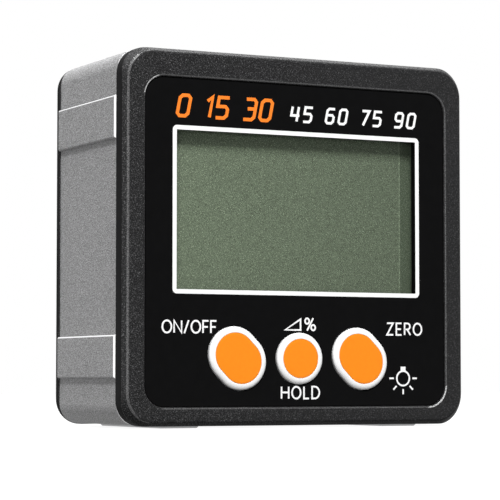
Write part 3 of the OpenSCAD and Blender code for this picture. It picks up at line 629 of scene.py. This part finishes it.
# Window pane: a clear acrylic plate bonded into the bezel behind the panel's opening.
ACRYLIC_TINT = (0.02, 0.022, 0.02)

clear = finish("clear_acrylic", ACRYLIC_TINT, rough=0.06, grain=2.0, tone=0.1, gloss_swing=0.02,
               Alpha=0.03)
clear.surface_render_method = "BLENDED"
dress(clear, "display_window")

# Display: a reflective liquid-crystal cell, with a grey-green polarising film on its
# front sheet of glass. The film is painted darker towards the right, painted shade, and
# stops short at the right, where its cut edge is a painted highlight line and the bare
# glass looks darker.
FILM_GREEN = (0.138, 0.172, 0.118)
# Film tone from left to right: painted shade, darker towards the right, then a painted highlight line on
# the cut edge.
FILM_LIGHT_FALL = ((0, 1), (0.993, 0.76), (1, 1.35))
GLASS_GREEN = (0.081, 0.104, 0.070)

film = finish("polarising_film", FILM_GREEN, rough=0.42, grain=0.1, tone=0.5, gloss_swing=0.05,
              relief=0.004, spread=0.11, glints=3.4, Specular_IOR_Level=0.08)
share, light_fall = mixed(film, "MULTIPLY")
share.default_value = 1
film.node_tree.links.new(across(film.node_tree, FILM_LIGHT_FALL), light_fall)
dress(film, "lcd_polariser")
bare_glass = finish("display_glass", GLASS_GREEN, rough=0.3, grain=0.15, tone=0.3, spread=0.12,
                    Specular_IOR_Level=0.08)
dress(bare_glass, "lcd_glass")

# Backlight: a milky light guide behind the display, lit by two small lamps on the board.
GUIDE_MILK = (0.85, 0.87, 0.84)
LAMP_YELLOW = (0.9, 0.86, 0.6)

dress(finish("milky_guide", GUIDE_MILK, rough=0.35, grain=0.8, tone=0.04), "light_guide")
dress(finish("lamp_body", LAMP_YELLOW, rough=0.4, grain=0.3, tone=0.05), "backlight_leds")

# Contact strip: striped rubber pressed between the display's ledge and the board.
RUBBER_BLACK = (0.05, 0.05, 0.055)

dress(finish("contact_rubber", RUBBER_BLACK, rough=0.7, grain=0.2, tone=0.3, relief=0.01),
      "contact_strip")

# Circuit board: green glass-fibre board screwed to the bezel's bosses, with the chips,
# the clock crystal and the three push switches soldered to it.
BOARD_GREEN = (0.012, 0.085, 0.035)
CHIP_BLACK = (0.02, 0.02, 0.021)
SWITCH_BLACK = (0.03, 0.03, 0.032)
ZINC_GREY = (0.44, 0.44, 0.45)

dress(finish("green_board", BOARD_GREEN, rough=0.35, grain=0.5, tone=0.25, relief=0.005),
      "circuit_board")
dress(finish("chip_black", CHIP_BLACK, rough=0.5, grain=0.15, tone=0.2, relief=0.006),
      "controller_chip", "tilt_sensor")
dress(finish("switch_body", SWITCH_BLACK, rough=0.42, grain=0.2, tone=0.2, relief=0.006),
      "power_switch", "hold_switch", "zero_switch")
zinc = finish("zinc_plated_steel", ZINC_GREY, rough=0.3, grain=0.3, tone=0.12, gloss_swing=0.08,
              relief=0.004, Metallic=1.0)
dress(zinc, "timing_crystal", "board_screws")

# Keys: white caps with a crowned rim, held behind the bezel by a flange, each with an
# orange second shot in its top and a switch plunger behind it.
KEY_WHITE = (0.93, 0.93, 0.93)
KEY_ORANGE = (0.93, 0.26, 0.012)
KEY_SLANT = math.radians(45)
KEY_BEVEL, KEY_RIM, KEY_FLANGE, KEY_BOSS_R = 0.8, 0.1, 0.6, 1.6
KEY_HEIGHT, KEY_BACK, KEY_STEM = 0.5, 0.6, 0.6
JOINT_LINE = 0.02
CAP_SOFT, SHOT_SOFT, SOFT_LIMIT = 0.14, 0.07, 0.45
SHOT_BORDER = 0.6
CROWN_STEPS = 10
PLUNGER_BROWN = (0.1, 0.09, 0.08)
KEYS = (("power_key", 4.1, 0.75), ("hold_key", 3.8, 0.0), ("zero_key", 4.1, 0.75))

white_cap = finish("white_cap", KEY_WHITE, rough=0.3, grain=0.5, tone=0.015, relief=0.002,
                   Specular_IOR_Level=0.7)
orange_shot = finish("orange_shot", KEY_ORANGE, rough=0.36, grain=0.5, tone=0.03, relief=0.002,
                     Specular_IOR_Level=0.15)


def softened(profile, width, steps=4):
    """A profile of half length, radius and depth with its corners turned into small curves"""
    points = [profile[0]]
    for a, b, c in zip(profile, profile[1:], profile[2:]):
        a, b, c = Vector(a), Vector(b), Vector(c)
        enter = b + (a - b) * min(width / (a - b).length, SOFT_LIMIT)
        leave = b + (c - b) * min(width / (c - b).length, SOFT_LIMIT)
        for i in range(steps + 1):
            t = i / steps
            points.append(tuple(enter * (1 - t) ** 2 + b * 2 * t * (1 - t) + leave * t ** 2))
    return points + [profile[-1]]


def moulded_key(name, node, profile, made, turns=72):
    """Closed body of rings with two round ends, centred on a CAD piece and standing for it"""
    low, high = (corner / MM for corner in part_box(node))
    mid = (low + high) / 2
    shape = bmesh.new()
    rings = []
    for half, r, y in profile:
        ring = []
        for i in range(turns):
            turn = 2 * math.pi * (i + 0.5) / turns
            end = half if math.cos(turn) > 0 else -half
            along, aside = end + r * math.cos(turn), r * math.sin(turn)
            ring.append(shape.verts.new(Vector((
                mid.x + along * math.cos(KEY_SLANT) + aside * math.sin(KEY_SLANT), y,
                mid.z - along * math.sin(KEY_SLANT) + aside * math.cos(KEY_SLANT))) * MM))
        rings.append(ring)
    for one, two in zip(rings, rings[1:]):
        for i in range(turns):
            k = (i + 1) % turns
            shape.faces.new((one[i], one[k], two[k], two[i]))
    for ring in (rings[0], rings[-1]):
        hub = shape.verts.new(sum((v.co for v in ring), Vector()) / turns)
        for i in range(turns):
            shape.faces.new((ring[i], ring[(i + 1) % turns], hub))
    bmesh.ops.recalc_face_normals(shape, faces=shape.faces)
    keep_corners(shape)
    mesh = bpy.data.meshes.new(name)
    shape.to_mesh(mesh)
    shape.free()
    mesh.materials.append(made)
    mesh.polygons.foreach_set("use_smooth", [True] * len(mesh.polygons))
    piece = bpy.data.objects.new(name, mesh)
    scene.collection.objects.link(piece)
    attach(piece, frame["nodes"][node]["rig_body"])
    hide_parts(node)


for key, key_r, key_half in KEYS:
    key_low, key_high = (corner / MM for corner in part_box(key))
    shot_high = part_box(key + "_insert")[1] / MM
    front, floor_y, flange_y = key_low.y, shot_high.y, key_high.y - KEY_STEM
    shot_r = key_r - KEY_BEVEL - KEY_RIM - JOINT_LINE
    crown = bow(key_r - KEY_BEVEL, front + KEY_HEIGHT, KEY_BEVEL, KEY_HEIGHT, 0, -90, CROWN_STEPS)
    cap = [(0.0, KEY_BOSS_R, key_high.y),
           (0.0, KEY_BOSS_R, flange_y),
           (key_half, key_r + KEY_FLANGE, flange_y),
           (key_half, key_r + KEY_FLANGE, flange_y - KEY_BACK),
           (key_half, key_r, flange_y - KEY_BACK),
           *((key_half, r, y) for r, y in crown),
           (key_half, shot_r + JOINT_LINE, front),
           (key_half, shot_r + JOINT_LINE, floor_y)]
    moulded_key(key + "_cap", key, softened(cap, CAP_SOFT), white_cap)
    shot = [(key_half, shot_r, shot_high.y),
            (key_half, shot_r, front),
            (key_half, shot_r - SHOT_BORDER, front)]
    moulded_key(key + "_shot", key + "_insert", softened(shot, SHOT_SOFT), orange_shot)
dress(finish("plunger_plastic", PLUNGER_BROWN, rough=0.45, grain=0.3, tone=0.15, relief=0.004),
      "power_plunger", "hold_plunger", "zero_plunger")

# Back cover: the black moulding that closes the frame's rear and holds the battery bay.
BACK_EDGE = 0.2
PLATE_DEPTH = 2.3
PLATE_BAND = 1.6

cover_low, cover_high = (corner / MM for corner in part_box("back_cover"))
cover = eased("back_cover", "back_moulding", [moulded, shaded_wall], [
    (BACK_EDGE, ROUND_STEPS, ON_SKIN,
     lambda p: p.y > cover_high.y - PLATE_DEPTH and past_side(p, cover_low, cover_high) < PLATE_BAND)])
# Side walls get the darker black: painted shade.
for face in cover.data.polygons:
    if abs(face.normal.y) < WALL_FACING:
        face.material_index = ON_SHADED_WALL

# Battery contacts: stamped spring-steel plates in the ends of the bay and two wound
# wire springs.
SPRING_STEEL = (0.62, 0.61, 0.58)

dress(finish("plated_spring_steel", SPRING_STEEL, rough=0.26, grain=0.3, tone=0.08, Metallic=1.0),
      "positive_contact", "negative_contact", "bridge_contact", "negative_spring", "bridge_spring")

# Cells: two slim dry cells laid head to tail, steel cans with bare ends in plain printed
# sleeves.
SLEEVE_BLUE = (0.05, 0.1, 0.16)
CAN_STEEL = (0.6, 0.59, 0.57)
CAN_EDGE = 0.25
SLEEVE_WRAP = 0.6
END_ON = 0.95
ON_SLEEVE, ON_CAN = range(2)

sleeve = finish("cell_sleeve", SLEEVE_BLUE, rough=0.3, grain=0.8, tone=0.1)
can = finish("steel_can", CAN_STEEL, rough=0.25, grain=0.4, tone=0.08, gloss_swing=0.06, Metallic=1.0)
for cell in ("upper_cell", "lower_cell"):
    cell_low, cell_high = (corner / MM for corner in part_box(cell))
    cell_mid, cell_r = (cell_low + cell_high) / 2, (cell_high.z - cell_low.z) / 2
    body = eased(cell, cell + "_can", [sleeve, can], [
        (CAN_EDGE, ROUND_STEPS, ON_SLEEVE,
         lambda p: math.hypot(p.y - cell_mid.y, p.z - cell_mid.z) > cell_r - AT_FACE)])
    for face in body.data.polygons:
        at = face.center / MM
        from_axis = math.hypot(at.y - cell_mid.y, at.z - cell_mid.z)
        if from_axis < cell_r - SLEEVE_WRAP or abs(face.normal.x) > END_ON:
            face.material_index = ON_CAN

# Battery door: a black moulded lid that snaps into the back cover.
DOOR_EDGE = 0.18

door_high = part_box("battery_door")[1] / MM
door = eased("battery_door", "battery_lid", [moulded], [
    (DOOR_EDGE, ROUND_STEPS, ON_SKIN, lambda p: p.y > door_high.y - AT_FACE)])

# Case screws: four zinc-plated pan-head screws that pull the back cover, the frame and
# the bezel together.
dress(zinc, "case_screws")
